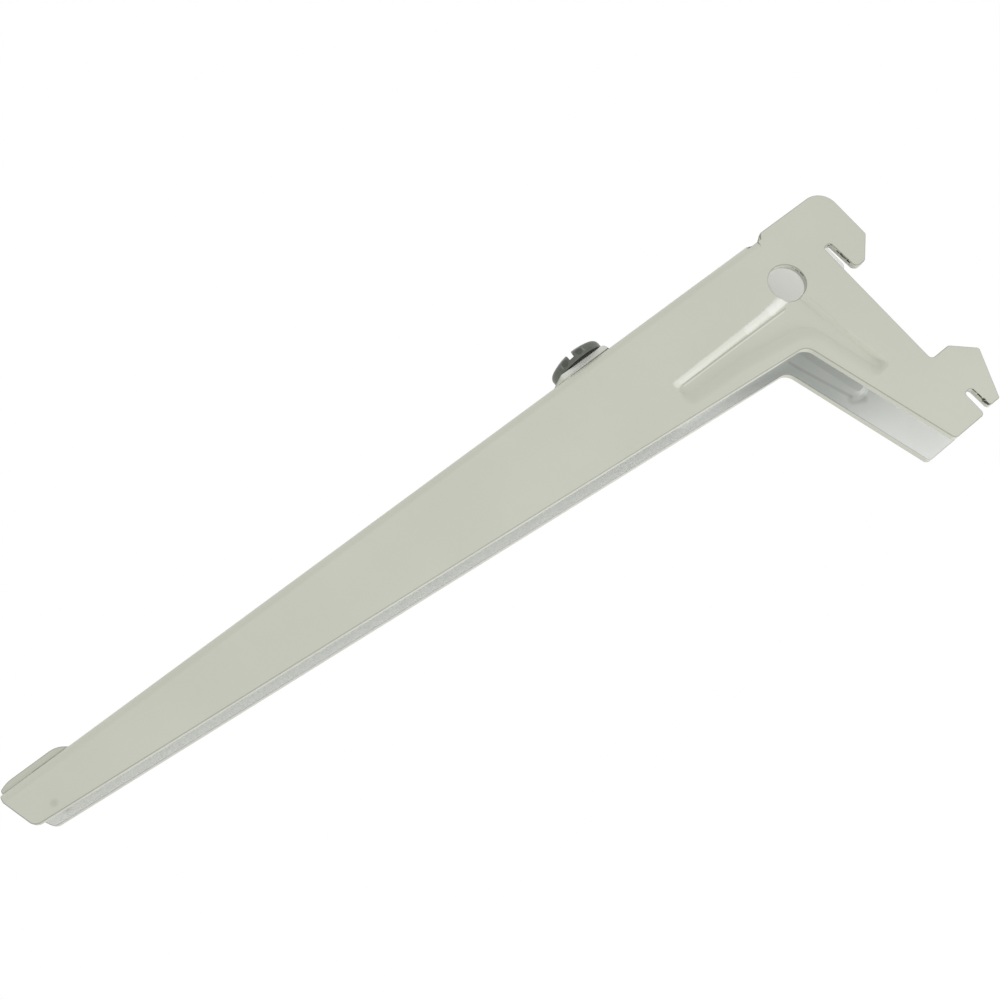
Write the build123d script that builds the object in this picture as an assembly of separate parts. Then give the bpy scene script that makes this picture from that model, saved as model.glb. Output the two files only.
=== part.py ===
from build123d import *
import math
import os

# Slotted shelf bracket: one steel sheet folded into a channel, and the screw in its shelf pad.
# x = 0 is the edge of both walls that bears on the slotted rail, and the arm runs along +X.
# z = 0 is the top of the web, where the shelf lies, and y = 0 is the plane midway between the walls.

# Sheet and channel, millimetres
SHEET = 2.0
REAR_WIDTH = 17.3
TIP_WIDTH = 13.25
TIP_X = 228.6
BEND_INSIDE = 0.5
BEND_OUTSIDE = BEND_INSIDE + SHEET
WEB_REAR_X = 12.4
SIDE_SLOPE = (TIP_WIDTH - REAR_WIDTH) / 2 / TIP_X
LEAN = math.degrees(math.atan(SIDE_SLOPE))
WALL_ALONG_Y = SHEET / math.cos(math.radians(LEAN))

# Arm and leg of a wall, seen from the side
TIP_CHAMFER_Z = -SHEET
TIP_LOW = (226.25, -9.95)
FAR_TIP_LOW = (224.75, -10.1)
TIP_RADIUS = 2.2
CROTCH = (22.7, -29.55)
CROTCH_RADIUS = 3.5
LEG_END_Z = -69.5
LEG_FRONT_X = 10.5
LEG_FRONT_RADIUS = 1.5
LEG_REAR_RADIUS = 1.1

# Hooks: both slots take the same rail sheet, and the upper hook is the longer one
HOOK_PITCH = 50.0
UPPER_ROOT_Z = -12.55
LOWER_ROOT_Z = UPPER_ROOT_Z - HOOK_PITCH
SLOT_ROOT_WIDTH = 2.35
SLOT_ROOT_RADIUS = 0.9
UPPER_SLOT_MOUTH = 2.85
LOWER_SLOT_MOUTH = 2.6
UPPER_HOOK_DEPTH = 9.0
LOWER_HOOK_DEPTH = 6.25
UPPER_TOE_RADIUS = 1.5
LOWER_TOE_RADIUS = 0.9
UPPER_HOOK_BACK_X = -11.8
UPPER_HOOK_LEAD_TOP_Z = -16.2
UPPER_LEAD_RADIUS = 1.0
HOOK_FLAT_X = -6.15
LOWER_HOOK_SHOULDER = (-12.0, -56.35)
LOWER_HOOK_HEEL_RADIUS = 0.5
LOWER_HOOK_SHOULDER_RADIUS = 0.8
LOWER_HOOK_NECK_Z = -51.1
NECK_RADIUS = 1.2

# Head over the upper hook, which stands a little above the web
HEAD_TOP_Z = 0.32
HEAD_RADIUS = 5.3
HEAD_FRONT_X = 10.15
HEAD_FRONT_RADIUS = 0.7
RELIEF_Z = -1.0
RELIEF_X = 11.3
RELIEF_RADIUS = 0.5
RELIEF_FLANK_X = 15.8
RELIEF_FLANK_Y = 3.9

# Hole and pressed rib of a wall
HOLE_CENTRE = (14.3, -13.95)
HOLE_RADIUS = 4.85
RIB_DEPTH = 1.1
RIB_BLEND_DEPTH = 0.25
RIB_BLEND_SHARE = 0.4
RIB_SHOULDER = 0.6
RIB_MOUTH = [
    (13.9, -16.5, 0),  # in the hole, rail side
    (16.5, -14.0, 0),  # in the hole, arm side
    (21.7, -16.5, 4.0),  # where the steep upper slope flares towards the hole
    (56.5, -16.9, 2.4),  # arm end, upper
    (57.0, -24.4, 3.0),  # arm end, lower
    (38.0, -25.4, 20.0),  # bend of the lower slope
    (20.4, -28.2, 6.0),  # inner elbow
    (15.4, -46.3, 2.4),  # leg end, front
    (8.8, -45.8, 1.8),  # leg end, rail side
]
RIB_FLOOR = [
    (14.6, -18.6, 0),
    (15.2, -18.0, 0),
    (21.7, -18.25, 3.0),
    (55.0, -18.2, 1.2),
    (54.8, -21.3, 1.2),
    (38.0, -21.8, 20.0),
    (17.4, -25.0, 6.0),
    (12.0, -44.3, 0.7),
    (10.4, -44.2, 0.7),
]

# Raised pad under the screw, sheared free along both sides
PAD_RISE = 1.85
PAD_HALF_WIDTH = 5.3
PAD_REAR_X = 60.5
PAD_TOP_REAR_X = 61.0
PAD_TOP_TIP_X = 74.7
PAD_TIP_X = 78.6
PAD_REAR_CROWN_RADIUS = 1.2
PAD_TIP_CROWN_RADIUS = 2.0

# Raised nose at the tip, dipping to its front
NOSE_RISE = 1.75
NOSE_HALF_WIDTH = 4.15
NOSE_REAR_X = 212.3
NOSE_TOP_REAR_X = 214.4
NOSE_DIP_X = 226.4
NOSE_FRONT_X = 228.1
NOSE_FRONT_Z = 0.92
NOSE_CROWN_RADIUS = 5.0
NOSE_DIP_RADIUS = 6.0
NOSE_LIP_RADIUS = 0.6

# Raised sheet: how far a ramp's inner side stands back, and its tight and wide blends
RAMP_SETBACK = 1.0
TIGHT_BLEND = 0.6
WIDE_BLEND = 2.0

# Shelf screw and the drawn collar that holds it
SCREW_X = 67.44
SCREW_RADIUS = 3.95
SCREW_END_Z = -9.5
SCREW_END_CHAMFER = 0.8
COLLAR_BORE_RADIUS = 4.0
COLLAR_RADIUS = 5.1
COLLAR_END_Z = -5.2
SCREW_HEAD_RADIUS = 7.25
SCREW_HEAD_HEIGHT = 4.15
DOME_RADIUS = 15.45
DOME_BLEND = 1.26
UNDER_HEAD_BLEND = 0.3
SLOT_WIDTH = 1.55
SLOT_DEPTH = 2.7
SLOT_TURN = -21.6

# Room past the part for the blanks that are trimmed to its outline
SPARE = 6.0


def half_width(x):
    """Half the outer width of the channel at x."""
    return REAR_WIDTH / 2 + SIDE_SLOPE * x


def rounded_outline(corners):
    """A closed wire through (x, y, radius) corners, each rounded by a tangent arc."""
    edges = []
    stops = []
    count = len(corners)
    for index, (x, y, radius) in enumerate(corners):
        corner = Vector(x, y)
        to_last = (Vector(*corners[index - 1][:2]) - corner).normalized()
        to_next = (Vector(*corners[(index + 1) % count][:2]) - corner).normalized()
        if radius == 0:
            stops.append((corner, corner))
            continue
        half_turn = math.radians(to_last.get_angle(to_next)) / 2
        reach = radius / math.tan(half_turn)
        centre = corner + (to_last + to_next).normalized() * (radius / math.sin(half_turn))
        middle = centre + (corner - centre).normalized() * radius
        start = corner + to_last * reach
        end = corner + to_next * reach
        edges.append(ThreePointArc(start, middle, end))
        stops.append((start, end))
    for index, (start, end) in enumerate(stops):
        edges.append(Line(stops[index - 1][1], start))
    return Wire(edges)


def side_plane(y):
    """A plane of x and z at the given y, facing +Y."""
    return Plane(origin=(0, y, 0), x_dir=(-1, 0, 0), z_dir=(0, 1, 0))


def side_face(corners, y):
    """A face at y from (x, z, radius) corners."""
    flipped = [(-x, z, radius) for x, z, radius in corners]
    return side_plane(y) * make_face(rounded_outline(flipped).edges())


def wall_corners(tip_low):
    """The outline of a wall from the side, with the web's place left open above."""
    upper_toe_z = UPPER_ROOT_Z - UPPER_HOOK_DEPTH
    lower_toe_z = LOWER_ROOT_Z - LOWER_HOOK_DEPTH
    return [
        (TIP_X, SPARE, 0),
        (TIP_X, TIP_CHAMFER_Z, 0),
        (*tip_low, TIP_RADIUS),
        (*CROTCH, CROTCH_RADIUS),
        (LEG_FRONT_X, LEG_END_Z, LEG_FRONT_RADIUS),
        (0, LEG_END_Z, LEG_REAR_RADIUS),
        (0, LOWER_ROOT_Z, SLOT_ROOT_RADIUS),
        (-SLOT_ROOT_WIDTH, LOWER_ROOT_Z, SLOT_ROOT_RADIUS),
        (-LOWER_SLOT_MOUTH, lower_toe_z, LOWER_TOE_RADIUS),
        (HOOK_FLAT_X, lower_toe_z, LOWER_HOOK_HEEL_RADIUS),
        (*LOWER_HOOK_SHOULDER, LOWER_HOOK_SHOULDER_RADIUS),
        (HOOK_FLAT_X, LOWER_HOOK_NECK_Z, NECK_RADIUS),
        (0, LOWER_HOOK_NECK_Z, NECK_RADIUS),
        (0, UPPER_ROOT_Z, SLOT_ROOT_RADIUS),
        (-SLOT_ROOT_WIDTH, UPPER_ROOT_Z, SLOT_ROOT_RADIUS),
        (-UPPER_SLOT_MOUTH, upper_toe_z, UPPER_TOE_RADIUS),
        (HOOK_FLAT_X, upper_toe_z, UPPER_TOE_RADIUS),
        (UPPER_HOOK_BACK_X, UPPER_HOOK_LEAD_TOP_Z, UPPER_LEAD_RADIUS),
        (UPPER_HOOK_BACK_X, HEAD_TOP_Z, HEAD_RADIUS),
        (HEAD_FRONT_X, HEAD_TOP_Z, HEAD_FRONT_RADIUS),
        (RELIEF_X, RELIEF_Z, RELIEF_RADIUS),
        (WEB_REAR_X, RELIEF_Z, 0),
        (WEB_REAR_X, SPARE, 0),
    ]


def channel_section(x):
    """The U section of the folded sheet at x, with long walls."""
    half = half_width(x)
    low = LEG_END_Z - SPARE
    outside = Rectangle(2 * half, -low, align=(Align.CENTER, Align.MAX))
    outside = fillet(outside.vertices().group_by(Axis.Y)[-1], BEND_OUTSIDE)
    inside = Pos(0, -SHEET) * Rectangle(2 * (half - WALL_ALONG_Y), -low, align=(Align.CENTER, Align.MAX))
    inside = fillet(inside.vertices().group_by(Axis.Y)[-1], BEND_INSIDE)
    return Plane(origin=(x, 0, 0), x_dir=(0, 1, 0), z_dir=(1, 0, 0)) * (outside - inside)


def rear_plate(side):
    """The flat rear stretch of one wall, which has no web over it."""
    rear_x = UPPER_HOOK_BACK_X - SPARE
    plan = Polyline(
        (rear_x, side * half_width(rear_x)),
        (WEB_REAR_X, side * half_width(WEB_REAR_X)),
        (WEB_REAR_X, side * (half_width(WEB_REAR_X) - WALL_ALONG_Y)),
        (rear_x, side * (half_width(rear_x) - WALL_ALONG_Y)),
        close=True,
    )
    plate = extrude(make_face(plan), SPARE - LEG_END_Z + SPARE)
    return Pos(0, 0, LEG_END_Z - SPARE) * plate


def relief_flank(side):
    """The waste beyond the slanted flank that narrows the web's rear end at its bend."""
    beyond = side * (half_width(0) + SPARE)
    plan = Polyline(
        (RELIEF_X, side * RELIEF_FLANK_Y),
        (WEB_REAR_X, side * RELIEF_FLANK_Y),
        (RELIEF_FLANK_X, side * half_width(RELIEF_FLANK_X)),
        (RELIEF_FLANK_X, beyond),
        (RELIEF_X, beyond),
        close=True,
    )
    return Pos(0, 0, RELIEF_Z) * extrude(make_face(plan), SPARE)


def folded_channel():
    """The two walls and the web, trimmed to the outlines of the walls."""
    front = loft([channel_section(WEB_REAR_X), channel_section(TIP_X + SPARE)], ruled=True)
    blank = front + rear_plate(1) + rear_plate(-1)
    reach = half_width(UPPER_HOOK_BACK_X) + SPARE
    outline = side_face(wall_corners(TIP_LOW), -reach)
    far_tip = outline - side_face(wall_corners(FAR_TIP_LOW), -reach)
    far_wall_only = reach - NOSE_HALF_WIDTH
    channel = (blank & extrude(outline, 2 * reach)) - extrude(far_tip, far_wall_only)
    return channel - relief_flank(1) - relief_flank(-1)


def wall_location(side):
    """The outer face of a wall, as a place whose +Z points out of the part."""
    mount = Pos(0, side * half_width(0), 0) * Rot(0, 0, side * LEAN)
    turn = Plane(origin=(0, 0, 0), x_dir=(-side, 0, 0), z_dir=(0, side, 0)).location
    return mount * turn


def slope_corners(share):
    """The rib's corners at a share of the way from its mouth to its floor."""
    return [
        tuple(high + (low - high) * share for high, low in zip(mouth, floor))
        for mouth, floor in zip(RIB_MOUTH, RIB_FLOOR)
    ]


def rib_outline(side, corners, growth, height):
    """One outline of the rib at a height over the wall's outer face, grown by growth."""
    outline = make_face(rounded_outline([(-side * x, z, radius) for x, z, radius in corners]).edges())
    if growth:
        outline = offset(outline, growth, kind=Kind.ARC)
    return Pos(0, 0, height) * outline


def rib_block(side, growth, height):
    """The pressed rib as a block, from its mouth at the given height down to its floor."""
    steps = [(0, 0), (RIB_BLEND_SHARE, RIB_BLEND_DEPTH), (1, RIB_DEPTH)]
    outlines = [rib_outline(side, slope_corners(share), growth, height - depth) for share, depth in steps]
    return wall_location(side) * loft(outlines, ruled=True)


def press_ribs(body):
    """Press the angled rib of each wall inward, keeping the sheet's thickness."""
    for side in (1, -1):
        body = body + rib_block(side, RIB_SHOULDER, -SHEET)
        body = body - rib_block(side, 0, 0)
    return body


def raised_strip(profile, half_breadth):
    """A strip of sheet with the given side profile, centred on y = 0."""
    return extrude(side_face(profile, -half_breadth), 2 * half_breadth)


def raise_pad(body):
    """Lift the pad out of the web and draw the screw's collar below it."""
    underside = PAD_RISE - SHEET
    profile = [
        (PAD_REAR_X - SHEET, 0, 0),
        (PAD_REAR_X, 0, 0),
        (PAD_TOP_REAR_X, PAD_RISE, PAD_REAR_CROWN_RADIUS),
        (PAD_TOP_TIP_X, PAD_RISE, PAD_TIP_CROWN_RADIUS),
        (PAD_TIP_X, 0, WIDE_BLEND),
        (PAD_TIP_X + SHEET, 0, 0),
        (PAD_TIP_X + SHEET, -SHEET, 0),
        (PAD_TIP_X - RAMP_SETBACK, -SHEET, WIDE_BLEND),
        (PAD_TOP_TIP_X - RAMP_SETBACK, underside, TIGHT_BLEND),
        (PAD_TOP_REAR_X + RAMP_SETBACK, underside, 0),
        (PAD_REAR_X + RAMP_SETBACK, -SHEET, TIGHT_BLEND),
        (PAD_REAR_X - SHEET, -SHEET, 0),
    ]
    window = Pos((PAD_REAR_X + PAD_TIP_X) / 2, 0, 0) * Box(
        PAD_TIP_X - PAD_REAR_X + 2 * SHEET, 2 * PAD_HALF_WIDTH, 3 * SHEET
    )
    collar = Pos(SCREW_X, 0, COLLAR_END_Z) * Cylinder(
        COLLAR_RADIUS, underside + SHEET / 2 - COLLAR_END_Z, align=(Align.CENTER, Align.CENTER, Align.MIN)
    )
    bore = Pos(SCREW_X, 0, 0) * Cylinder(COLLAR_BORE_RADIUS, 6 * SHEET)
    return body - window + raised_strip(profile, PAD_HALF_WIDTH) + collar - bore


def raise_nose(body):
    """Lift the nose that holds the shelf's edge at the tip."""
    underside = NOSE_RISE - SHEET
    profile = [
        (NOSE_REAR_X - SHEET, 0, 0),
        (NOSE_REAR_X, 0, TIGHT_BLEND),
        (NOSE_TOP_REAR_X, NOSE_RISE, NOSE_CROWN_RADIUS),
        (NOSE_DIP_X, NOSE_RISE, NOSE_DIP_RADIUS),
        (NOSE_FRONT_X, NOSE_FRONT_Z, NOSE_LIP_RADIUS),
        (NOSE_FRONT_X, NOSE_FRONT_Z - SHEET, 0),
        (NOSE_DIP_X, underside, NOSE_DIP_RADIUS - SHEET),
        (NOSE_TOP_REAR_X + RAMP_SETBACK, underside, NOSE_CROWN_RADIUS - SHEET),
        (NOSE_REAR_X + RAMP_SETBACK, -SHEET, TIGHT_BLEND),
        (NOSE_REAR_X - SHEET, -SHEET, 0),
    ]
    length = TIP_X + SPARE - NOSE_REAR_X + SHEET
    window = Pos(NOSE_REAR_X - SHEET, 0, 0) * Box(
        length, 2 * NOSE_HALF_WIDTH, 3 * SHEET, align=(Align.MIN, Align.CENTER, Align.CENTER)
    )
    return body - window + raised_strip(profile, NOSE_HALF_WIDTH)


def bracket_body():
    """The whole folded sheet."""
    body = press_ribs(folded_channel())
    x, z = HOLE_CENTRE
    body = body - Pos(x, 0, z) * Rot(90, 0, 0) * Cylinder(HOLE_RADIUS, 2 * REAR_WIDTH)
    body = raise_pad(body)
    return raise_nose(body)


def head_profile():
    """Half the side profile of the screw's head: upright rim, blend and dome, in order."""
    head_top = PAD_RISE + SCREW_HEAD_HEIGHT
    dome_z = head_top - DOME_RADIUS
    blend_x = SCREW_HEAD_RADIUS - DOME_BLEND
    blend_z = dome_z + math.sqrt((DOME_RADIUS - DOME_BLEND) ** 2 - blend_x ** 2)
    tilt = math.atan2(blend_z - dome_z, blend_x)

    def at(x, z, radius, angle):
        return (x + radius * math.cos(angle), z + radius * math.sin(angle))

    rim_top = (SCREW_HEAD_RADIUS, blend_z)
    dome_start = at(blend_x, blend_z, DOME_BLEND, tilt)
    dome_middle = at(0, dome_z, DOME_RADIUS, (tilt + math.pi / 2) / 2)
    return [
        Line((SCREW_HEAD_RADIUS, PAD_RISE), rim_top),
        ThreePointArc(rim_top, at(blend_x, blend_z, DOME_BLEND, tilt / 2), dome_start),
        ThreePointArc(dome_start, dome_middle, (0, head_top)),
    ]


def shelf_screw():
    """The slotted dome-headed screw, seated on the pad."""
    head_top = PAD_RISE + SCREW_HEAD_HEIGHT
    shank = Polyline(
        (0, head_top),
        (0, SCREW_END_Z),
        (SCREW_RADIUS - SCREW_END_CHAMFER, SCREW_END_Z),
        (SCREW_RADIUS, SCREW_END_Z + SCREW_END_CHAMFER),
        (SCREW_RADIUS, PAD_RISE),
        (SCREW_HEAD_RADIUS, PAD_RISE),
    )
    profile = make_face(shank.edges() + head_profile())
    outer_foot = profile.vertices().sort_by(Axis.X).group_by(Axis.X)[-1].sort_by(Axis.Y)[0]
    profile = fillet(outer_foot, UNDER_HEAD_BLEND)
    screw = revolve(Plane.XZ * profile, Axis.Z)
    slot = Pos(0, 0, head_top - SLOT_DEPTH) * Rot(0, 0, SLOT_TURN) * Box(
        SLOT_WIDTH, 4 * SCREW_HEAD_RADIUS, 2 * SLOT_DEPTH, align=(Align.CENTER, Align.CENTER, Align.MIN)
    )
    return Pos(SCREW_X, 0, 0) * (screw - slot)


os.makedirs("parts", exist_ok=True)
export_step(bracket_body(), "parts/bracket_body.step")
export_step(shelf_screw(), "parts/shelf_screw.step")
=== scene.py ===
import math

import bmesh
import bpy
from bpy.props import FloatProperty, FloatVectorProperty, IntProperty, PointerProperty
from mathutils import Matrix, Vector
from mathutils.bvhtree import BVHTree


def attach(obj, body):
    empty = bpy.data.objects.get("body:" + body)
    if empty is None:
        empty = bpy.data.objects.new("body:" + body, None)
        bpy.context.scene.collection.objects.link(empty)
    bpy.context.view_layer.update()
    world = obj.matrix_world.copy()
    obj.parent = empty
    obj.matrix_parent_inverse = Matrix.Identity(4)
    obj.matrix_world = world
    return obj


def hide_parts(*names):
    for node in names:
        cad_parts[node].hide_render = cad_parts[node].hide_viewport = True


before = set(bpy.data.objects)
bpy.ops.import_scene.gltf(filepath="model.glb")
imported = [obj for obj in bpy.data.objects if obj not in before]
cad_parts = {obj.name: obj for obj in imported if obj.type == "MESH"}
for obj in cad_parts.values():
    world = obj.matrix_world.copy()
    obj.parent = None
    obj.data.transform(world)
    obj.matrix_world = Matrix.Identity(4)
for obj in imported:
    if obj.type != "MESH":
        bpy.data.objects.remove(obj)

bl_info = {
    "name": "Slotted shelf bracket",
    "version": (1, 0, 0),
    "blender": (4, 5, 0),
    "location": "View3D > Sidebar > Bracket",
    "description": "Dresses a folded sheet shelf bracket with its coating, rolled edges and threaded screw",
    "category": "Object",
}

MM = 0.001

# Places on the bracket are in millimetres in the frame's own axes, unless a name says otherwise
SHEET = 2.0
TIP_X = 228.6
REAR_HALF_WIDTH = 8.65
TIP_HALF_WIDTH = 6.625

# Shelf screw: its axis, the height where its head is cut off the shank, its end and its painted shade
# patches and highlight lines on the rim
SCREW_X = 67.44
SCREW_NECK_Z = 1.0
SCREW_NECK_OVERLAP = 0.3
SCREW_END_Z = -9.5
SCREW_END_CHAMFER = 0.8
SCREW_RIM_FOOT_Z = 2.5
SCREW_EDGE_ROUND = 0.09
SCREW_HEAD_RADIUS = 7.25
SCREW_SLOT_END_DEGREES = 68.4
RIM_MARK_Z = 3.5
RIM_MARK_OFF_DEGREES = 18.0
RIM_LINE_OFF_DEGREES = 27.5
RIM_LINE_HALF_HEIGHT = 0.6
THREAD_ROWS_PER_TURN = 10

# Angles past which an edge is rounded, and past which it is shaded as a crease
SHEET_ROUND_DEGREES = 55
SHEET_CREASE_DEGREES = 17
SCREW_ROUND_DEGREES = 40
SCREW_CREASE_DEGREES = 30

# Painted shade along the rib's creases on both walls, and a darker spot near the tip: start, end, half width
# and strength
WALL_CREASES = (
    ((19.0, 0.0, -18.75), (36.3, 0.0, -18.5), 0.20, 0.26),
    ((36.3, 0.0, -18.5), (53.6, 0.0, -18.35), 0.20, 0.26),
    ((12.8, 0.0, -20.3), (11.5, 0.0, -32.9), 0.14, 0.08),
    ((220.7, 0.0, -8.4), (220.7, 0.0, -8.4), 1.20, 0.14),
)
# Painted highlights just below the rib's upper crease, on both walls: start, end, half width and strength
WALL_HIGHLIGHTS = (
    ((20.0, 0.0, -19.2), (36.3, 0.0, -18.95), 0.22, 0.35),
    ((36.3, 0.0, -18.95), (53.6, 0.0, -18.8), 0.22, 0.35),
)
# Painted highlight on the rib's upper slope, on the outer faces alone
RIB_HIGHLIGHT_BANDS = (
    ((18.6, 0.0, -17.0), (55.2, 0.0, -17.55), 1.35, 0.38),
    ((18.0, 0.0, -16.9), (31.0, 0.0, -17.4), 1.7, 0.30),
    ((18.0, 0.0, -16.7), (22.5, 0.0, -17.1), 2.1, 0.40),
)
# Painted shade along the rib's crease and at its end, on the inner faces alone
INNER_CREASE_SHADE = (
    ((20.6, 0.0, -28.0), (14.4, 0.0, -44.6), 0.6, 0.20),
    ((14.6, 0.0, -45.4), (12.0, 0.0, -46.8), 1.8, 0.22),
)
# Painted shade along the foot of the screw's pad and the foot of the nose, on both their sides
PAD_CREASE_SHADE = (
    ((60.8, 5.3, 0.26), (72.8, 5.3, 0.10), 0.24, 0.85),
    ((213.2, 4.15, 0.1), (221.0, 4.15, 0.1), 0.30, 0.35),
)
# Painted highlights on the side of the screw's pad and along its upper edge, on both sides
PAD_HIGHLIGHTS = (
    ((61.5, 5.3, 1.1), (74.0, 5.3, 1.0), 1.5, 0.40),
    ((61.0, 5.3, 1.8), (74.5, 5.3, 1.8), 0.25, 0.6),
)
# Worn places on both walls: start and end with y counted from the mid-plane, and half width
CHIPS = (
    ((-1.9, 7.6, -12.6), (-2.1, 8.5, -13.2), 0.35),
    ((-2.45, 8.1, -15.2), (-2.5, 8.2, -16.6), 0.30),
    ((-2.5, 8.2, -16.6), (-2.6, 8.3, -19.4), 0.55),
    ((-2.35, 8.5, -63.1), (-2.4, 8.6, -64.9), 0.16),
    ((-2.45, 8.55, -64.9), (-2.5, 8.5, -65.8), 0.32),
    ((-2.5, 8.3, -66.5), (-2.6, 8.4, -68.1), 0.62),
    ((17.4, 7.0, -10.6), (18.6, 7.3, -12.2), 0.30),
    ((10.3, 7.9, -11.5), (9.5, 7.7, -13.4), 0.24),
    ((9.45, 8.1, -13.9), (9.6, 8.2, -15.0), 0.20),
)
# Tones of the painted highlights
WALL_AND_PAD_HIGHLIGHT_TONE = (0.9, 0.9, 0.88)
RIB_HIGHLIGHT_TONE = (0.86, 0.865, 0.82)
# Share of the way to the palest painted light inside the fold that the arm and the leg's end reach
FAR_INSIDE_LIGHT_SHARE = 0.66

# Camera solved from the edges of the bracket in the photograph, in metres and degrees
CAMERA_PLACE = (0.187126, 0.274358, -0.07057)
CAMERA_TURN_DEGREES = (104.9205, 39.4425, 172.9179)
CAMERA_LENS = 44.9715

FLOOR_SIZE = 12.0
FLOOR_LIFT = 0.29
WHITE = (1.0, 1.0, 1.0)
COOL_WHITE = (0.90, 0.97, 1.0)


class BracketSheetSettings(bpy.types.PropertyGroup):
    coating: FloatVectorProperty(
        name="Coating", description="Colour of the baked coating", default=(0.571, 0.584, 0.497),
        subtype="COLOR", size=3, min=0.0, max=1.0,
    )
    # Near-black steel colour for chipped coating, used too for painted shade along creases and at the foot
    # of the pad and nose
    steel: FloatVectorProperty(
        name="Bare steel", description="Colour where the coating is chipped", default=(0.03, 0.03, 0.025),
        subtype="COLOR", size=3, min=0.0, max=1.0,
    )
    # Painted light: the inner faces of the fold painted paler and cooler where light reaches them
    inside: FloatVectorProperty(
        name="Inside", description="Paler and cooler coating inside the fold",
        default=(0.90, 0.905, 0.87), subtype="COLOR", size=3, min=0.0, max=1.0,
    )
    # Painted shade: the fold's inner corner painted darker and cooler
    corner: FloatVectorProperty(
        name="Corner", description="Darker and cooler coating inside the fold's corner",
        default=(0.53, 0.55, 0.525), subtype="COLOR", size=3, min=0.0, max=1.0,
    )
    # Painted shade: the rolled edges take a copy of the coating darkened by this share
    edge_shade: FloatProperty(
        name="Edge shade", description="How much the thin coating on an edge keeps of its brightness",
        default=0.64, min=0.0, max=1.0,
    )
    edge_round: FloatProperty(
        name="Edge round", description="Width by which the coating rounds a cut edge", default=0.00021,
        unit="LENGTH", min=0.00005, max=0.0003,
    )


class ShelfScrewSettings(bpy.types.PropertyGroup):
    colour: FloatVectorProperty(
        name="Colour", description="Colour of the dark phosphated steel", default=(0.105, 0.113, 0.094),
        subtype="COLOR", size=3, min=0.0, max=1.0,
    )
    thread_pitch: FloatProperty(
        name="Thread pitch", description="Rise of the thread in one turn", default=0.00125,
        unit="LENGTH", min=0.0005, max=0.003,
    )
    thread_depth: FloatProperty(
        name="Thread depth", description="Depth of the thread's groove", default=0.0007,
        unit="LENGTH", min=0.0001, max=0.001,
    )
    thread_radius: FloatProperty(
        name="Thread radius", description="Radius over the thread's crests", default=0.00394,
        unit="LENGTH", min=0.002, max=0.00395,
    )
    sides: IntProperty(
        name="Sides", description="Steps round the thread", default=96, min=24, max=256,
    )


class BracketStageSettings(bpy.types.PropertyGroup):
    floor_drop: FloatProperty(
        name="Floor drop", description="Height of the bracket's datum over the floor", default=0.32,
        unit="LENGTH", min=0.28, max=1.0,
    )
    ambient: FloatProperty(
        name="Ambient", description="Strength of the even light", default=0.86, min=0.0, max=2.0,
    )
    front: FloatProperty(
        name="Front", description="Power of the soft lamp beside the camera in watts", default=0.12,
        min=0.0, max=50.0,
    )
    grazing: FloatProperty(
        name="Grazing", description="Power of the low lamp that grazes the near wall in watts", default=0.36,
        min=0.0, max=50.0,
    )
    rear: FloatProperty(
        name="Rear", description="Power of the cool lamp behind the rail's place in watts", default=0.055,
        min=0.0, max=50.0,
    )


def shader_group(name, inputs, outputs):
    """An empty shader group with its named sockets, and its input and output nodes."""
    tree = bpy.data.node_groups.new(name, "ShaderNodeTree")
    for label, kind, value in inputs:
        socket = tree.interface.new_socket(name=label, in_out="INPUT", socket_type=kind)
        socket.default_value = value
    for label, kind in outputs:
        tree.interface.new_socket(name=label, in_out="OUTPUT", socket_type=kind)
    return tree, tree.nodes.new("NodeGroupInput"), tree.nodes.new("NodeGroupOutput")


def feed(tree, socket, value):
    """Links a socket, or sets it to a plain value."""
    if isinstance(value, bpy.types.NodeSocket):
        tree.links.new(value, socket)
    else:
        socket.default_value = value


def math_node(tree, operation, *values, clamp=False):
    """A Math node fed by sockets or plain numbers; returns its output. Works in both kinds of tree."""
    node = tree.nodes.new("ShaderNodeMath")
    node.operation = operation
    node.use_clamp = clamp
    for socket, value in zip(node.inputs, values):
        feed(tree, socket, value)
    return node.outputs[0]


def vector_node(tree, operation, *values):
    """A Vector Math node fed by sockets or plain vectors; returns the node."""
    node = tree.nodes.new("ShaderNodeVectorMath")
    node.operation = operation
    for socket, value in zip(node.inputs, values):
        feed(tree, socket, value)
    return node


def ramp(tree, value, low, high):
    """0 at low, 1 at high, smooth between; low may be over high."""
    node = tree.nodes.new("ShaderNodeMapRange")
    node.interpolation_type = "SMOOTHSTEP"
    feed(tree, node.inputs["Value"], value)
    feed(tree, node.inputs["From Min"], low)
    feed(tree, node.inputs["From Max"], high)
    return node.outputs["Result"]


def noise(tree, coordinate, scale, detail=3.0, rough=0.5):
    """A Noise Texture on the given coordinate; returns its factor."""
    node = tree.nodes.new("ShaderNodeTexNoise")
    node.inputs["Scale"].default_value = scale
    node.inputs["Detail"].default_value = detail
    node.inputs["Roughness"].default_value = rough
    tree.links.new(coordinate, node.inputs["Vector"])
    return node.outputs["Fac"]


def mix_colour(tree, mask, first, second):
    """first where mask is 0, second where it is 1; each a socket or a colour."""
    node = tree.nodes.new("ShaderNodeMix")
    node.data_type = "RGBA"
    tree.links.new(mask, node.inputs["Factor"])
    for name, value in (("A", first), ("B", second)):
        socket = [s for s in node.inputs if s.name == name and s.type == "RGBA"][0]
        feed(tree, socket, value if isinstance(value, bpy.types.NodeSocket) else (*value, 1.0))
    return [s for s in node.outputs if s.type == "RGBA"][0]


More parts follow.
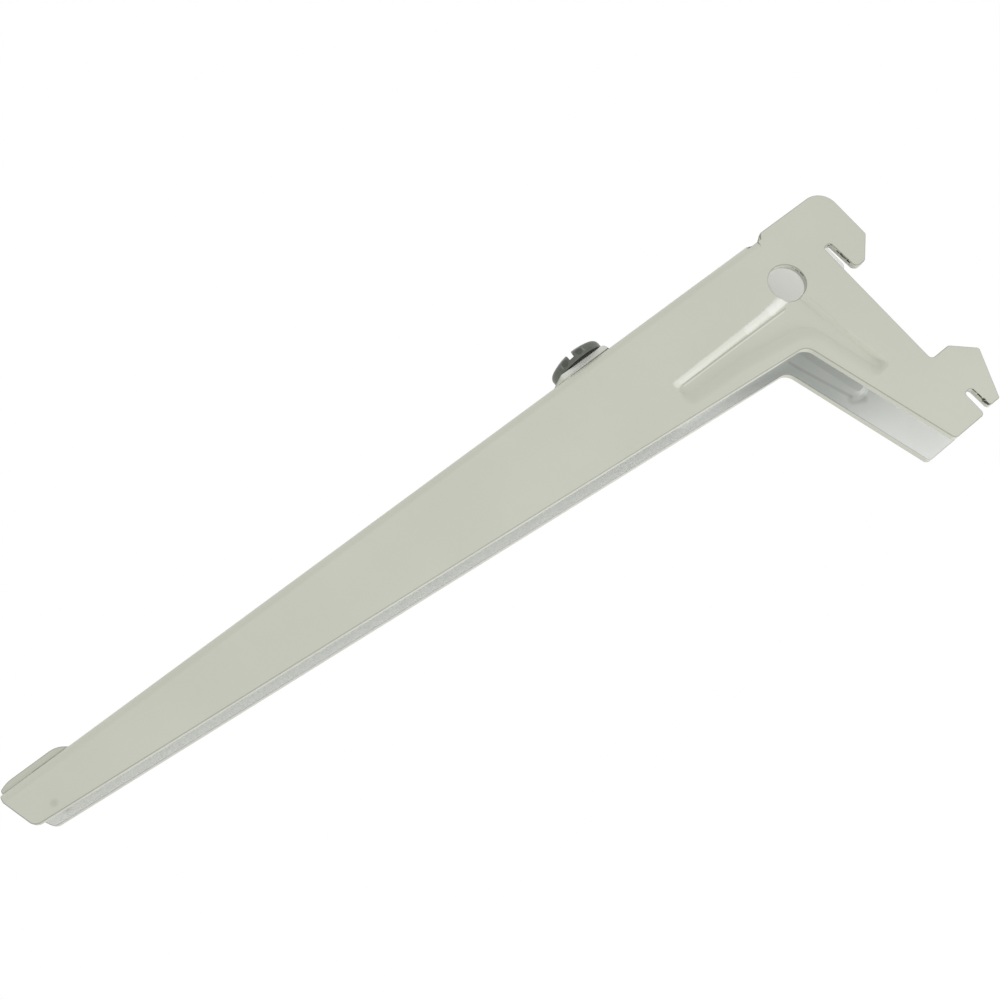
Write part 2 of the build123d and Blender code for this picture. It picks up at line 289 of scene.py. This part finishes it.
def build_near_line_group():
    """Group: 1 near the straight line between two points, fading smoothly to 0 at a distance."""
    tree, inside, outside = shader_group(
        "Near a line",
        [
            ("Place", "NodeSocketVector", (0.0, 0.0, 0.0)),
            ("Start", "NodeSocketVector", (0.0, 0.0, 0.0)),
            ("End", "NodeSocketVector", (0.01, 0.0, 0.0)),
            ("Full", "NodeSocketFloat", 0.0001),
            ("Gone", "NodeSocketFloat", 0.0002),
        ],
        [("Mask", "NodeSocketFloat")],
    )
    wide = inside.outputs
    along = vector_node(tree, "SUBTRACT", wide["End"], wide["Start"]).outputs["Vector"]
    offset = vector_node(tree, "SUBTRACT", wide["Place"], wide["Start"]).outputs["Vector"]
    reach = vector_node(tree, "DOT_PRODUCT", offset, along).outputs["Value"]
    size = vector_node(tree, "DOT_PRODUCT", along, along).outputs["Value"]
    part = math_node(tree, "DIVIDE", reach, math_node(tree, "MAXIMUM", size, 1e-12), clamp=True)
    scaled = vector_node(tree, "SCALE", along)
    tree.links.new(part, scaled.inputs["Scale"])
    gap = vector_node(tree, "SUBTRACT", offset, scaled.outputs["Vector"]).outputs["Vector"]
    distance = vector_node(tree, "LENGTH", gap).outputs["Value"]
    tree.links.new(ramp(tree, distance, wide["Gone"], wide["Full"]), outside.inputs["Mask"])
    return tree


def near_line(tree, group, place, start, end, full, gone):
    """Places the Near a line group for points and distances in millimetres; returns its mask."""
    node = tree.nodes.new("ShaderNodeGroup")
    node.node_tree = group
    tree.links.new(place, node.inputs["Place"])
    node.inputs["Start"].default_value = [value * MM for value in start]
    node.inputs["End"].default_value = [value * MM for value in end]
    node.inputs["Full"].default_value = full * MM
    node.inputs["Gone"].default_value = gone * MM
    return node.outputs["Mask"]


def most(tree, masks):
    """The largest of several masks."""
    result = masks[0]
    for mask in masks[1:]:
        result = math_node(tree, "MAXIMUM", result, mask)
    return result


def new_material(name):
    """A material with only its output and Principled shader, and its Object coordinate."""
    material = bpy.data.materials.new(name)
    material.use_nodes = True
    tree = material.node_tree
    tree.nodes.clear()
    output = tree.nodes.new("ShaderNodeOutputMaterial")
    shader = tree.nodes.new("ShaderNodeBsdfPrincipled")
    tree.links.new(shader.outputs["BSDF"], output.inputs["Surface"])
    place = tree.nodes.new("ShaderNodeTexCoord").outputs["Object"]
    return material, tree, shader, place


def add_bump(tree, shader, height, strength, distance):
    """Raises a shader's surface by a height field, in metres."""
    bump = tree.nodes.new("ShaderNodeBump")
    bump.inputs["Strength"].default_value = strength
    bump.inputs["Distance"].default_value = distance
    tree.links.new(height, bump.inputs["Height"])
    tree.links.new(bump.outputs["Normal"], shader.inputs["Normal"])


def sheet_depth(tree, split):
    """How far a point lies in from a wall's outer face, as if the walls had no rib."""
    narrowing = (TIP_HALF_WIDTH - REAR_HALF_WIDTH) / TIP_X
    half = math_node(tree, "MULTIPLY_ADD", split.outputs["X"], narrowing, REAR_HALF_WIDTH * MM)
    return math_node(tree, "SUBTRACT", half, split.outputs["Y"])


def wall_places(tree, place):
    """A place with its y left out, the same place with y counted from the mid-plane, and that split."""
    flat = vector_node(tree, "MULTIPLY", place, (1.0, 0.0, 1.0)).outputs["Vector"]
    unsigned = vector_node(tree, "ABSOLUTE", place).outputs["Vector"]
    across = vector_node(tree, "MULTIPLY", unsigned, (0.0, 1.0, 0.0)).outputs["Vector"]
    mirrored = vector_node(tree, "ADD", flat, across).outputs["Vector"]
    split = tree.nodes.new("ShaderNodeSeparateXYZ")
    tree.links.new(mirrored, split.inputs["Vector"])
    return flat, mirrored, split


def painted_light_share(tree, split):
    """How much painted light the inner faces get: palest near the rail's upper slots, with painted shade
    darkest in the fold's corner.
    """
    by_rail = math_node(
        tree, "MULTIPLY", ramp(tree, split.outputs["X"], 17.0 * MM, 8.0 * MM),
        ramp(tree, split.outputs["Z"], -32.0 * MM, -20.0 * MM),
    )
    outward = math_node(
        tree, "MAXIMUM", ramp(tree, split.outputs["X"], 27.0 * MM, 47.0 * MM),
        ramp(tree, split.outputs["Z"], -38.0 * MM, -58.0 * MM),
    )
    return math_node(tree, "MAXIMUM", by_rail, math_node(tree, "MULTIPLY", outward, FAR_INSIDE_LIGHT_SHARE))


def add_marks(tree, line, colour, marks, ground, tone, within=None):
    """Paints soft lines over a colour, everywhere or only within another mask."""
    for begin, finish, reach, strength in marks:
        mask = near_line(tree, line, ground, begin, finish, 0.25 * reach, reach)
        mask = math_node(tree, "MULTIPLY", mask, strength)
        if within is not None:
            mask = math_node(tree, "MULTIPLY", mask, within)
        colour = mix_colour(tree, mask, colour, tone)
    return colour


def add_rib_highlights(tree, line, colour, place, flat, outer):
    """Paints the grainy painted highlight bands of the rib's upper slope over a colour."""
    grain = math_node(tree, "MULTIPLY_ADD", noise(tree, place, 1500.0, 4.0, 0.7), 1.4, -0.7)
    for begin, finish, reach, strength in RIB_HIGHLIGHT_BANDS:
        band = near_line(tree, line, flat, begin, finish, 0.2 * reach, reach)
        band = ramp(tree, math_node(tree, "ADD", band, grain), 0.20, 0.75)
        band = math_node(tree, "MULTIPLY", band, math_node(tree, "MULTIPLY", outer, strength))
        colour = mix_colour(tree, band, colour, RIB_HIGHLIGHT_TONE)
    return colour


def chip_mask(tree, line, place, mirrored):
    """1 where the coating has chipped off, with a ragged edge."""
    worn = most(tree, [
        near_line(tree, line, mirrored, start, end, 0.0, 2.0 * half) for start, end, half in CHIPS
    ])
    ragged = math_node(tree, "MULTIPLY", noise(tree, place, 2300.0, 5.0, 0.75), 2.6)
    chipped = ramp(tree, math_node(tree, "ADD", worn, ragged), 1.98, 2.12)
    return math_node(tree, "MULTIPLY", chipped, ramp(tree, worn, 0.02, 0.15))


def coating_material(name, settings, line, brightness):
    """Baked coating over sheet steel: cloudy, faintly orange-peeled, chipped where the hooks rub, with
    painted light and shade inside the fold, painted highlights on the rib and pad, and painted shade in
    creases.
    """
    material, tree, shader, place = new_material(name)
    # The coating's own colour and the painted light and painted shade inside the fold, all scaled by
    # brightness, which is below 1 for the painted shade on rolled edges
    full, pale, corner = (
        tuple(channel * brightness for channel in tone)
        for tone in (settings.coating, settings.inside, settings.corner)
    )
    cloud = ramp(tree, noise(tree, place, 45.0), 0.3, 0.7)
    colour = mix_colour(tree, cloud, full, tuple(channel * 0.975 for channel in full))

    flat, mirrored, split = wall_places(tree, place)
    depth = sheet_depth(tree, split)
    inner = ramp(tree, depth, (SHEET - 0.35) * MM, (SHEET - 0.2) * MM)
    inner = math_node(tree, "MULTIPLY", inner, ramp(tree, split.outputs["Z"], -1.0 * MM, -1.4 * MM))
    outer = ramp(tree, depth, 1.6 * MM, 1.4 * MM)
    # Painted light and painted shade on the inner faces: palest towards the rail's slots, the arm and the
    # leg's end, darkest in the fold's corner
    colour = mix_colour(tree, inner, colour, mix_colour(tree, painted_light_share(tree, split), corner, pale))
    # Painted shade along the rib's crease and at its end, on the inner faces
    colour = add_marks(tree, line, colour, INNER_CREASE_SHADE, flat, settings.steel, within=inner)
    # Painted highlight on the rib's upper slope
    colour = add_rib_highlights(tree, line, colour, place, flat, outer)
    # Painted highlights on the walls and the pad, and painted shade in the near-black steel colour along the
    # creases and at the foot of the pad and nose
    for marks, ground, tone in (
        (WALL_HIGHLIGHTS, flat, WALL_AND_PAD_HIGHLIGHT_TONE),
        (PAD_HIGHLIGHTS, mirrored, WALL_AND_PAD_HIGHLIGHT_TONE),
        (WALL_CREASES, flat, settings.steel),
        (PAD_CREASE_SHADE, mirrored, settings.steel),
    ):
        colour = add_marks(tree, line, colour, marks, ground, tone)
    chipped = chip_mask(tree, line, place, mirrored)
    colour = mix_colour(tree, chipped, colour, settings.steel)
    tree.links.new(colour, shader.inputs["Base Color"])

    gloss = math_node(tree, "MULTIPLY_ADD", cloud, 0.08, 0.34)
    tree.links.new(math_node(tree, "MULTIPLY_ADD", chipped, 0.2, gloss), shader.inputs["Roughness"])
    peel = noise(tree, place, 1300.0, 2.0, 0.4)
    add_bump(tree, shader, math_node(tree, "SUBTRACT", peel, chipped), 0.12, 0.04 * MM)
    return material


def rim_point(turn_degrees, z):
    """A point on the rim of the screw's head, at a turn from the +X direction, in millimetres."""
    turn = math.radians(turn_degrees)
    return (
        SCREW_X + SCREW_HEAD_RADIUS * math.cos(turn),
        SCREW_HEAD_RADIUS * math.sin(turn),
        z,
    )


def rim_masks(tree, line, place):
    """The painted shade patches on the head's rim and the painted highlight lines past them, on both sides
    of each slot end.
    """
    marks, lines = [], []
    for slot_end in (SCREW_SLOT_END_DEGREES, SCREW_SLOT_END_DEGREES + 180.0):
        for side in (-1, 1):
            mark = rim_point(slot_end + side * RIM_MARK_OFF_DEGREES, RIM_MARK_Z)
            marks.append(near_line(tree, line, place, mark, mark, 0.75, 1.05))
            turn = slot_end + side * RIM_LINE_OFF_DEGREES
            low = rim_point(turn, RIM_MARK_Z - RIM_LINE_HALF_HEIGHT)
            high = rim_point(turn, RIM_MARK_Z + RIM_LINE_HALF_HEIGHT)
            lines.append(near_line(tree, line, place, low, high, 0.03, 0.2))
    return most(tree, marks), most(tree, lines)


def under_head_shade_mask(tree, place):
    """1 in the narrow gap between the rim of the screw's head and the pad, where painted shade goes."""
    from_axis = vector_node(tree, "SUBTRACT", place, (SCREW_X * MM, 0.0, 0.0)).outputs["Vector"]
    split = tree.nodes.new("ShaderNodeSeparateXYZ")
    tree.links.new(from_axis, split.inputs["Vector"])
    level = vector_node(tree, "MULTIPLY", from_axis, (1.0, 1.0, 0.0)).outputs["Vector"]
    reach = vector_node(tree, "LENGTH", level).outputs["Value"]
    band = math_node(
        tree, "MULTIPLY", ramp(tree, split.outputs["Z"], 2.20 * MM, 2.08 * MM),
        ramp(tree, split.outputs["Z"], 0.4 * MM, 1.2 * MM),
    )
    return math_node(tree, "MULTIPLY", band, ramp(tree, reach, 7.26 * MM, 7.18 * MM))


def screw_material(settings, line):
    """Dark phosphated steel, with painted shade patches and painted highlight lines on the rim beside the
    slot, and painted shade under the head.
    """
    material, tree, shader, place = new_material("Dark phosphated steel")
    cloud = ramp(tree, noise(tree, place, 900.0), 0.3, 0.75)
    full = settings.colour
    lighter, lit, dark, black = (
        tuple(channel * share for channel in full) for share in (1.35, 2.6, 0.3, 0.03)
    )
    colour = mix_colour(tree, cloud, full, lighter)
    marks, lines = rim_masks(tree, line, place)
    # Painted highlight lines and painted shade patches on the rim, and near-black painted shade under the
    # head
    colour = mix_colour(tree, math_node(tree, "MULTIPLY", lines, 0.6), colour, lit)
    colour = mix_colour(tree, math_node(tree, "MULTIPLY", marks, 0.5), colour, dark)
    colour = mix_colour(tree, under_head_shade_mask(tree, place), colour, black)
    tree.links.new(colour, shader.inputs["Base Color"])
    shader.inputs["Metallic"].default_value = 0.35
    rough = math_node(tree, "MULTIPLY_ADD", cloud, 0.14, 0.36)
    tree.links.new(rough, shader.inputs["Roughness"])
    add_bump(tree, shader, noise(tree, place, 2500.0), 0.2, 0.03 * MM)
    return material


def link_object(name, mesh):
    """A new object at the origin in the scene's collection."""
    thing = bpy.data.objects.new(name, mesh)
    bpy.context.scene.collection.objects.link(thing)
    return thing


def merged_copy(node):
    """A bmesh of a node's solid with its loose triangles joined and its flat faces whole."""
    work = bmesh.new()
    work.from_mesh(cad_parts[node].data)
    bmesh.ops.remove_doubles(work, verts=work.verts, dist=2e-6)
    bmesh.ops.dissolve_limit(
        work, angle_limit=math.radians(0.6), verts=work.verts, edges=work.edges,
        use_dissolve_boundaries=False,
    )
    for face in work.faces:
        face.material_index = 0
    return work


def sharp_edges(work, degrees):
    """The edges of a bmesh whose two faces turn by more than an angle."""
    least = math.radians(degrees)
    return [edge for edge in work.edges if edge.is_manifold and edge.calc_face_angle() > least]


def roll_edges(work, edges, width, material_index):
    """Rounds edges by a width; a point that would leave the old surface is put back on it."""
    surface = BVHTree.FromBMesh(work)
    bmesh.ops.bevel(
        work, geom=edges, offset=width, offset_type="OFFSET", segments=2, profile=0.5,
        affect="EDGES", clamp_overlap=False, material=material_index,
    )
    for vert in work.verts:
        nearest, normal, _, gap = surface.find_nearest(vert.co)
        if gap > 0.45 * width or (vert.co - nearest).dot(normal) > 0:
            vert.co = nearest
    bmesh.ops.remove_doubles(work, verts=work.verts, dist=2e-6)


def plain_mesh(work, name, sharp_degrees):
    """A mesh made of a bmesh, smooth but for its creases; rolled edges keep no crease."""
    for face in work.faces:
        face.smooth = True
    for edge in work.edges:
        edge.smooth = True
    for edge in sharp_edges(work, sharp_degrees):
        edge.smooth = any(face.material_index for face in edge.link_faces)
    mesh = bpy.data.meshes.new(name)
    work.to_mesh(mesh)
    work.free()
    carried = mesh.attributes.get("custom_normal")
    if carried:
        mesh.attributes.remove(carried)
    return mesh


class BRACKET_OT_sheet(bpy.types.Operator):
    """Build the coated sheet with the rolled edges that a baked coating gives"""

    bl_idname = "bracket.sheet"
    bl_label = "Coated sheet"

    def execute(self, context):
        settings = context.scene.bracket_sheet
        work = merged_copy("bracket_body")
        roll_edges(work, sharp_edges(work, SHEET_ROUND_DEGREES), settings.edge_round, 1)
        sheet = link_object("bracket_sheet", plain_mesh(work, "bracket_sheet", SHEET_CREASE_DEGREES))
        line = build_near_line_group()
        sheet.data.materials.append(coating_material("Pale baked coating", settings, line, 1.0))
        # Painted shade: the rolled edges get the coating darkened by edge_shade
        sheet.data.materials.append(
            coating_material("Painted shade on rolled edges", settings, line, settings.edge_shade)
        )
        flat_faces = sheet.modifiers.new("Flat faces stay flat", "WEIGHTED_NORMAL")
        flat_faces.mode = "FACE_AREA"
        flat_faces.keep_sharp = True
        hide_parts("bracket_body")
        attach(sheet, "root")
        return {"FINISHED"}


def build_thread_group():
    """Geometry group: a closed threaded rod on the Z axis, right-handed, with a chamfered end."""
    tree = bpy.data.node_groups.new("Screw thread", "GeometryNodeTree")
    tree.interface.new_socket(name="Geometry", in_out="OUTPUT", socket_type="NodeSocketGeometry")
    for label, kind, value in (
        ("Radius", "NodeSocketFloat", 0.004),
        ("Depth", "NodeSocketFloat", 0.0007),
        ("Pitch", "NodeSocketFloat", 0.00125),
        ("Bottom", "NodeSocketFloat", 0.0),
        ("Top", "NodeSocketFloat", 0.01),
        ("Chamfer", "NodeSocketFloat", 0.0008),
        ("Sides", "NodeSocketInt", 96),
        ("Rows", "NodeSocketInt", 80),
        ("Material", "NodeSocketMaterial", None),
    ):
        socket = tree.interface.new_socket(name=label, in_out="INPUT", socket_type=kind)
        if value is not None:
            socket.default_value = value
    given = tree.nodes.new("NodeGroupInput").outputs

    rod = tree.nodes.new("GeometryNodeMeshCylinder")
    tree.links.new(given["Sides"], rod.inputs["Vertices"])
    tree.links.new(given["Rows"], rod.inputs["Side Segments"])
    tree.links.new(given["Radius"], rod.inputs["Radius"])
    feed(tree, rod.inputs["Depth"], math_node(tree, "SUBTRACT", given["Top"], given["Bottom"]))

    split = tree.nodes.new("ShaderNodeSeparateXYZ")
    tree.links.new(tree.nodes.new("GeometryNodeInputPosition").outputs[0], split.inputs[0])
    middle = math_node(tree, "MULTIPLY", math_node(tree, "ADD", given["Top"], given["Bottom"]), 0.5)
    height = math_node(tree, "ADD", split.outputs["Z"], middle)
    turn = math_node(tree, "ARCTAN2", split.outputs["Y"], split.outputs["X"])
    turns = math_node(tree, "DIVIDE", turn, 2.0 * math.pi)
    phase = math_node(tree, "SUBTRACT", math_node(tree, "DIVIDE", height, given["Pitch"]), turns)
    phase = math_node(tree, "FRACT", phase)
    wave = math_node(tree, "ABSOLUTE", math_node(tree, "MULTIPLY_ADD", phase, 2.0, -1.0))
    flank = math_node(tree, "MULTIPLY_ADD", wave, 1.35, -0.175, clamp=True)
    cut = math_node(tree, "MULTIPLY", given["Depth"], math_node(tree, "SUBTRACT", 1.0, flank))
    threaded = math_node(tree, "SUBTRACT", given["Radius"], cut)
    slope = math_node(tree, "SUBTRACT", height, given["Bottom"])
    chamfered = math_node(tree, "ADD", math_node(tree, "SUBTRACT", given["Radius"], given["Chamfer"]), slope)
    radius = math_node(tree, "MINIMUM", threaded, chamfered)
    place = tree.nodes.new("ShaderNodeCombineXYZ")
    feed(tree, place.inputs["X"], math_node(tree, "MULTIPLY", radius, math_node(tree, "COSINE", turn)))
    feed(tree, place.inputs["Y"], math_node(tree, "MULTIPLY", radius, math_node(tree, "SINE", turn)))
    feed(tree, place.inputs["Z"], height)

    move = tree.nodes.new("GeometryNodeSetPosition")
    tree.links.new(rod.outputs["Mesh"], move.inputs["Geometry"])
    tree.links.new(place.outputs["Vector"], move.inputs["Position"])
    real = tree.nodes.new("GeometryNodeRealizeInstances")
    tree.links.new(move.outputs["Geometry"], real.inputs["Geometry"])
    dressed = tree.nodes.new("GeometryNodeSetMaterial")
    tree.links.new(real.outputs["Geometry"], dressed.inputs["Geometry"])
    tree.links.new(given["Material"], dressed.inputs["Material"])
    result = tree.nodes.new("NodeGroupOutput")
    tree.links.new(dressed.outputs["Geometry"], result.inputs["Geometry"])
    return tree


def thread_mesh(settings, material):
    """The threaded rod as a plain mesh on the Z axis."""
    maker = link_object("thread maker", bpy.data.meshes.new("thread maker"))
    modifier = maker.modifiers.new("Thread", "NODES")
    group = build_thread_group()
    modifier.node_group = group
    top = (SCREW_NECK_Z + SCREW_NECK_OVERLAP) * MM
    bottom = SCREW_END_Z * MM
    values = {
        "Radius": settings.thread_radius,
        "Depth": settings.thread_depth,
        "Pitch": settings.thread_pitch,
        "Bottom": bottom,
        "Top": top,
        "Chamfer": SCREW_END_CHAMFER * MM,
        "Sides": settings.sides,
        "Rows": round((top - bottom) / settings.thread_pitch * THREAD_ROWS_PER_TURN),
        "Material": material,
    }
    for item in group.interface.items_tree:
        if item.item_type == "SOCKET" and item.in_out == "INPUT":
            modifier[item.identifier] = values[item.name]
    context = bpy.context.evaluated_depsgraph_get()
    mesh = bpy.data.meshes.new_from_object(maker.evaluated_get(context))
    bpy.data.objects.remove(maker)
    return mesh


class BRACKET_OT_screw(bpy.types.Operator):
    """Build the dark slotted screw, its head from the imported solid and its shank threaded"""

    bl_idname = "bracket.screw"
    bl_label = "Shelf screw"

    def execute(self, context):
        settings = context.scene.shelf_screw
        material = screw_material(settings, bpy.data.node_groups["Near a line"])
        work = merged_copy("shelf_screw")
        neck = Vector((0.0, 0.0, SCREW_NECK_Z * MM))
        bmesh.ops.bisect_plane(
            work, geom=work.verts[:] + work.edges[:] + work.faces[:], dist=1e-7,
            plane_co=neck, plane_no=(0.0, 0.0, 1.0), clear_inner=True,
        )
        rim = [edge for edge in work.edges if edge.is_boundary]
        bmesh.ops.holes_fill(work, edges=rim, sides=0)
        crisp = [
            edge for edge in sharp_edges(work, SCREW_ROUND_DEGREES)
            if min(vert.co.z for vert in edge.verts) > SCREW_RIM_FOOT_Z * MM
        ]
        roll_edges(work, crisp, SCREW_EDGE_ROUND * MM, -1)
        thread = thread_mesh(settings, material)
        known = set(work.verts)
        work.from_mesh(thread)
        bpy.data.meshes.remove(thread)
        fresh = [vert for vert in work.verts if vert not in known]
        bmesh.ops.translate(work, vec=(SCREW_X * MM, 0.0, 0.0), verts=fresh)
        bmesh.ops.recalc_face_normals(work, faces=work.faces)
        for face in work.faces:
            face.material_index = 0
        mesh = plain_mesh(work, "shelf_screw_threaded", SCREW_CREASE_DEGREES)
        screw = link_object("shelf_screw_threaded", mesh)
        screw.data.materials.append(material)
        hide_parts("shelf_screw")
        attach(screw, "root")
        return {"FINISHED"}


def area_lamp(name, place, turn_degrees, wide, high, power, tint=WHITE):
    """A soft oblong lamp in metres and watts, which the camera doesn't see. It shines down unturned."""
    data = bpy.data.lights.new(name, "AREA")
    data.shape = "RECTANGLE"
    data.size = wide
    data.size_y = high
    data.energy = power
    data.color = tint
    lamp = bpy.data.objects.new(name, data)
    lamp.location = place
    lamp.rotation_euler = [math.radians(turn) for turn in turn_degrees]
    lamp.visible_camera = False
    bpy.context.scene.collection.objects.link(lamp)


def studio_world(strength):
    """Even light for the part, and plain white for the camera, mirrors and glass."""
    world = bpy.data.worlds.new("Studio")
    world.use_nodes = True
    tree = world.node_tree
    tree.nodes.clear()
    even = tree.nodes.new("ShaderNodeBackground")
    even.inputs["Color"].default_value = (*WHITE, 1.0)
    even.inputs["Strength"].default_value = strength
    white = tree.nodes.new("ShaderNodeBackground")
    white.inputs["Color"].default_value = (*WHITE, 1.0)
    white.inputs["Strength"].default_value = 1.0
    path = tree.nodes.new("ShaderNodeLightPath").outputs
    seen = most(tree, [path["Is Camera Ray"], path["Is Glossy Ray"], path["Is Transmission Ray"]])
    choose = tree.nodes.new("ShaderNodeMixShader")
    tree.links.new(seen, choose.inputs["Fac"])
    tree.links.new(even.outputs["Background"], choose.inputs[1])
    tree.links.new(white.outputs["Background"], choose.inputs[2])
    output = tree.nodes.new("ShaderNodeOutputWorld")
    tree.links.new(choose.outputs["Shader"], output.inputs["Surface"])
    bpy.context.scene.world = world


def floor_material():
    """Plain pale floor that the camera sees as white where nothing shades it."""
    material, tree, shader, place = new_material("Pale floor")
    speck = ramp(tree, noise(tree, place, 3.0), 0.2, 0.8)
    colour = mix_colour(tree, speck, (0.90, 0.90, 0.90), (0.88, 0.88, 0.88))
    tree.links.new(colour, shader.inputs["Base Color"])
    shader.inputs["Roughness"].default_value = 0.9
    shader.inputs["Emission Color"].default_value = (*WHITE, 1.0)
    path = tree.nodes.new("ShaderNodeLightPath").outputs
    lift = math_node(tree, "MULTIPLY", path["Is Camera Ray"], FLOOR_LIFT)
    tree.links.new(lift, shader.inputs["Emission Strength"])
    return material


class BRACKET_OT_stage(bpy.types.Operator):
    """Set the pale floor, the soft studio light and the camera"""

    bl_idname = "bracket.stage"
    bl_label = "Stage"

    def execute(self, context):
        settings = context.scene.bracket_stage
        bpy.ops.mesh.primitive_plane_add(size=FLOOR_SIZE, location=(0.0, 0.0, -settings.floor_drop))
        floor = context.object
        floor.name = "floor"
        floor.data.materials.append(floor_material())
        studio_world(settings.ambient)
        area_lamp("front lamp", (0.10, 0.36, -0.05), (-90.0, 0.0, 0.0), 0.34, 0.30, settings.front)
        area_lamp("low lamp", (0.06, 0.065, -0.30), (168.0, 0.0, 0.0), 0.26, 0.05, settings.grazing)
        area_lamp(
            "rear lamp", (-0.24, 0.01, -0.10), (0.0, -90.0, 0.0), 0.18, 0.12, settings.rear, COOL_WHITE,
        )
        camera_data = bpy.data.cameras.new("camera")
        camera_data.lens = CAMERA_LENS
        camera_data.clip_start = 0.01
        camera = bpy.data.objects.new("camera", camera_data)
        camera.location = CAMERA_PLACE
        camera.rotation_euler = [math.radians(turn) for turn in CAMERA_TURN_DEGREES]
        context.scene.collection.objects.link(camera)
        context.scene.camera = camera
        context.scene.view_settings.view_transform = "Standard"
        return {"FINISHED"}


class BRACKET_PT_sidebar(bpy.types.Panel):
    """The bracket's pieces and their sizes"""

    bl_idname = "BRACKET_PT_sidebar"
    bl_label = "Shelf bracket"
    bl_space_type = "VIEW_3D"
    bl_region_type = "UI"
    bl_category = "Bracket"

    def draw(self, context):
        for operator, settings in STEPS:
            box = self.layout.box()
            box.operator(operator)
            group = getattr(context.scene, settings)
            for name in group.__annotations__:
                box.prop(group, name)


CLASSES = (
    BracketSheetSettings,
    ShelfScrewSettings,
    BracketStageSettings,
    BRACKET_OT_sheet,
    BRACKET_OT_screw,
    BRACKET_OT_stage,
    BRACKET_PT_sidebar,
)

STEPS = (
    ("bracket.sheet", "bracket_sheet"),
    ("bracket.screw", "shelf_screw"),
    ("bracket.stage", "bracket_stage"),
)


def register():
    """Register the classes and hang their settings on the scene."""
    for one in CLASSES:
        bpy.utils.register_class(one)
    bpy.types.Scene.bracket_sheet = PointerProperty(type=BracketSheetSettings)
    bpy.types.Scene.shelf_screw = PointerProperty(type=ShelfScrewSettings)
    bpy.types.Scene.bracket_stage = PointerProperty(type=BracketStageSettings)


def unregister():
    """Take the settings and the classes away again."""
    del bpy.types.Scene.bracket_stage
    del bpy.types.Scene.shelf_screw
    del bpy.types.Scene.bracket_sheet
    for one in reversed(CLASSES):
        bpy.utils.unregister_class(one)


def main():
    """Build every piece and the stage."""
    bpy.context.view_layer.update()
    register()
    bpy.ops.bracket.sheet()
    bpy.ops.bracket.screw()
    bpy.ops.bracket.stage()


if __name__ == "__main__":
    main()
